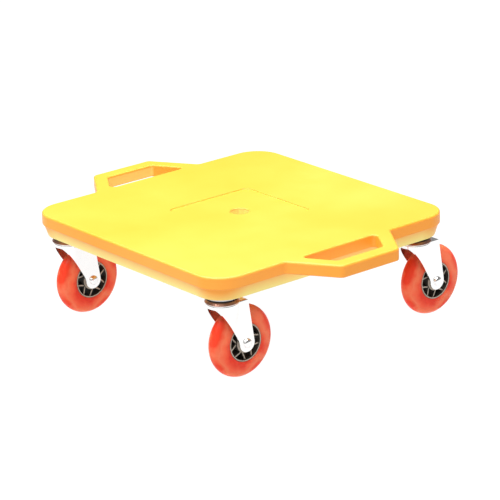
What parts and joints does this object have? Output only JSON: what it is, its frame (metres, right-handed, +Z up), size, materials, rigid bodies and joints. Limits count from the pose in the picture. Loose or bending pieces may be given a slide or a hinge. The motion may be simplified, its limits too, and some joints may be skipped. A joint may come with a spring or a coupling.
{
  "type": "scooter board",
  "caption": "Low square moulded platform with a hand grip on two sides, a centre hole and swivelling red urethane wheels in bright forks.",
  "frame": {"origin": "on the floor, at the middle of the footprint of the board and its wheels", "axes": "+Z up, X from grip to grip, +Y the way that the casters trail, so the board rolls towards -Y"},
  "size_m": [0.534, 0.445, 0.153],
  "materials": {
    "board_plastic": "glossy moulded plastic with faint flow marks",
    "insert_brass": "turned brass",
    "plain_steel": "plain zinc-plated steel",
    "seal_rubber": "black rubber",
    "fork_chrome": "bright chrome-plated pressed steel",
    "ball_steel": "polished bearing steel",
    "bolt_zinc": "bright zinc-plated bolt",
    "tyre_urethane": "translucent red-orange urethane",
    "core_nylon": "pale moulded nylon",
    "bearing_steel": "ground steel rings with pressed shields"
  },
  "bodies": {
    "board": {"board": "board_plastic", "stem_inserts": "insert_brass", "front_left_stem": "plain_steel", "front_left_upper_race": "plain_steel", "front_left_dust_seal": "seal_rubber", "front_left_lower_race": "plain_steel", "front_right_stem": "plain_steel", "front_right_upper_race": "plain_steel", "front_right_dust_seal": "seal_rubber", "front_right_lower_race": "plain_steel", "rear_left_stem": "plain_steel", "rear_left_upper_race": "plain_steel", "rear_left_dust_seal": "seal_rubber", "rear_left_lower_race": "plain_steel", "rear_right_stem": "plain_steel", "rear_right_upper_race": "plain_steel", "rear_right_dust_seal": "seal_rubber", "rear_right_lower_race": "plain_steel"},
    "front_left_swivel": {"front_left_fork": "fork_chrome", "front_left_swivel_cup": "fork_chrome", "front_left_upper_balls": "ball_steel", "front_left_lower_balls": "ball_steel", "front_left_axle_bolt": "bolt_zinc", "front_left_axle_nut": "bolt_zinc", "front_left_axle_spacers": "plain_steel"},
    "front_left_wheel": {"front_left_tyre": "tyre_urethane", "front_left_wheel_core": "core_nylon", "front_left_bearings": "bearing_steel"},
    "front_right_swivel": {"front_right_fork": "fork_chrome", "front_right_swivel_cup": "fork_chrome", "front_right_upper_balls": "ball_steel", "front_right_lower_balls": "ball_steel", "front_right_axle_bolt": "bolt_zinc", "front_right_axle_nut": "bolt_zinc", "front_right_axle_spacers": "plain_steel"},
    "front_right_wheel": {"front_right_tyre": "tyre_urethane", "front_right_wheel_core": "core_nylon", "front_right_bearings": "bearing_steel"},
    "rear_left_swivel": {"rear_left_fork": "fork_chrome", "rear_left_swivel_cup": "fork_chrome", "rear_left_upper_balls": "ball_steel", "rear_left_lower_balls": "ball_steel", "rear_left_axle_bolt": "bolt_zinc", "rear_left_axle_nut": "bolt_zinc", "rear_left_axle_spacers": "plain_steel"},
    "rear_left_wheel": {"rear_left_tyre": "tyre_urethane", "rear_left_wheel_core": "core_nylon", "rear_left_bearings": "bearing_steel"},
    "rear_right_swivel": {"rear_right_fork": "fork_chrome", "rear_right_swivel_cup": "fork_chrome", "rear_right_upper_balls": "ball_steel", "rear_right_lower_balls": "ball_steel", "rear_right_axle_bolt": "bolt_zinc", "rear_right_axle_nut": "bolt_zinc", "rear_right_axle_spacers": "plain_steel"},
    "rear_right_wheel": {"rear_right_tyre": "tyre_urethane", "rear_right_wheel_core": "core_nylon", "rear_right_bearings": "bearing_steel"}
  },
  "joints": [
    {"name": "front_left_swivel", "type": "hinge", "parent": "board", "child": "front_left_swivel", "pos_m": [0.1665, -0.18595, 0.11], "axis": [0, 0, 1], "continuous": true},
    {"name": "front_left_roll", "type": "hinge", "parent": "front_left_swivel", "child": "front_left_wheel", "pos_m": [0.1665, -0.15955, 0.049], "axis": [1, 0, 0], "continuous": true},
    {"name": "front_right_swivel", "type": "hinge", "parent": "board", "child": "front_right_swivel", "pos_m": [-0.1665, -0.18595, 0.11], "axis": [0, 0, 1], "continuous": true},
    {"name": "front_right_roll", "type": "hinge", "parent": "front_right_swivel", "child": "front_right_wheel", "pos_m": [-0.1665, -0.15955, 0.049], "axis": [1, 0, 0], "continuous": true},
    {"name": "rear_left_swivel", "type": "hinge", "parent": "board", "child": "rear_left_swivel", "pos_m": [0.1665, 0.14705, 0.11], "axis": [0, 0, 1], "continuous": true},
    {"name": "rear_left_roll", "type": "hinge", "parent": "rear_left_swivel", "child": "rear_left_wheel", "pos_m": [0.1665, 0.17345, 0.049], "axis": [1, 0, 0], "continuous": true},
    {"name": "rear_right_swivel", "type": "hinge", "parent": "board", "child": "rear_right_swivel", "pos_m": [-0.1665, 0.14705, 0.11], "axis": [0, 0, 1], "continuous": true},
    {"name": "rear_right_roll", "type": "hinge", "parent": "rear_right_swivel", "child": "rear_right_wheel", "pos_m": [-0.1665, 0.17345, 0.049], "axis": [1, 0, 0], "continuous": true}
  ]
}
